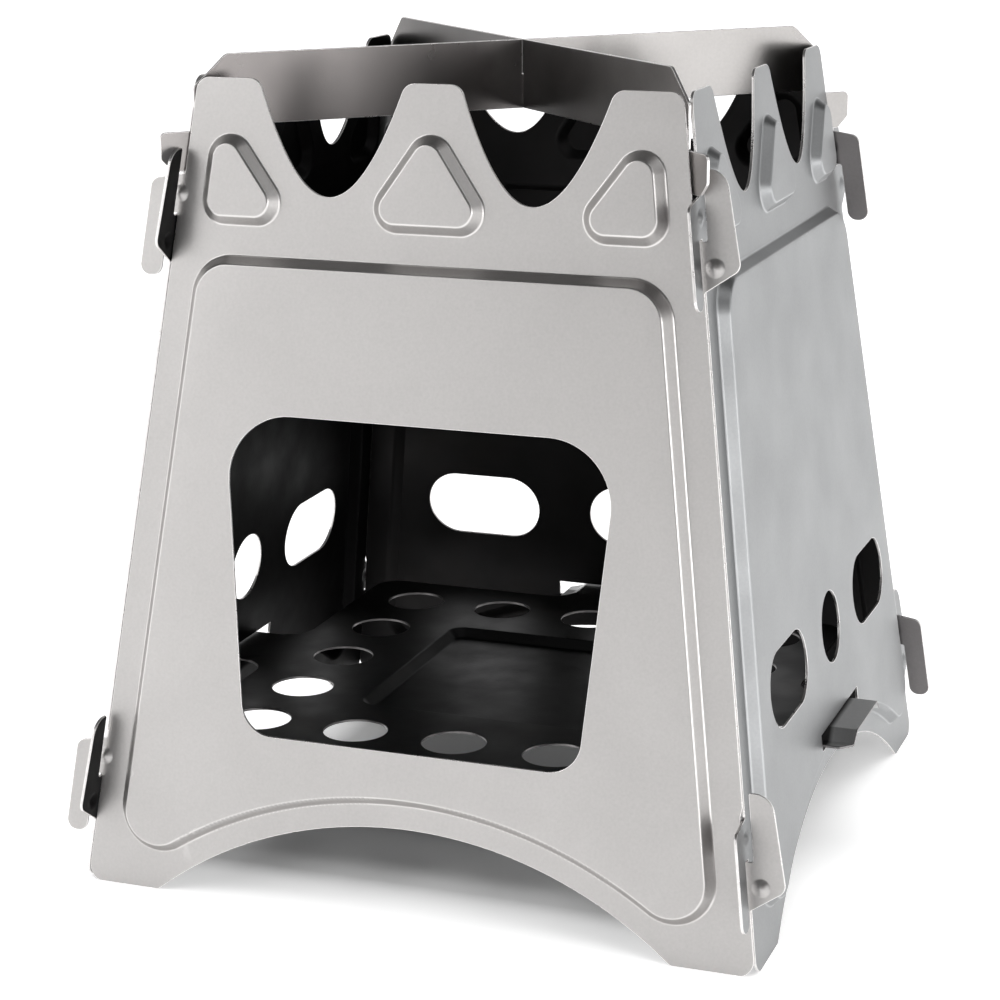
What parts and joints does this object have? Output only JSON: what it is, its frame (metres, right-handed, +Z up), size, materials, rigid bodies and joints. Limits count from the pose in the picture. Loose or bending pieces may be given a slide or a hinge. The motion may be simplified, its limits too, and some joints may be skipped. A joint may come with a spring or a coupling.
{
  "type": "flat-pack wood stove",
  "caption": "Flat-pack camping wood stove of hooked, leaning sheet walls with a feed window, vents, a perforated base plate and crossed pot-rest plates.",
  "frame": {"origin": "middle of the stove's footprint, on the ground that its feet stand on", "axes": "+Z up, the front wall with the feed window faces -Y, +X to the right as seen from the front"},
  "size_m": [0.1598, 0.1598, 0.1755],
  "materials": {
    "wall_metal": "satin bead-blasted titanium, warm light grey",
    "side_metal": "satin bead-blasted titanium, light grey, soot-dark inside",
    "base_metal": "satin titanium, darkened by the fire",
    "rest_metal": "satin titanium, lightly heat-toned"
  },
  "bodies": {
    "root": {"front_wall": "wall_metal", "right_wall": "side_metal", "back_wall": "side_metal", "left_wall": "side_metal", "base_plate": "base_metal"},
    "lower_cross": {"lower_cross_plate": "rest_metal"},
    "upper_cross": {"upper_cross_plate": "rest_metal"}
  },
  "joints": [
    {"name": "lower_cross_lift", "type": "slide", "parent": "root", "child": "lower_cross", "axis": [0, 0, 1], "range_m": [0, 0.025]},
    {"name": "upper_cross_lift", "type": "slide", "parent": "lower_cross", "child": "upper_cross", "axis": [0, 0, 1], "range_m": [0, 0.025]}
  ]
}
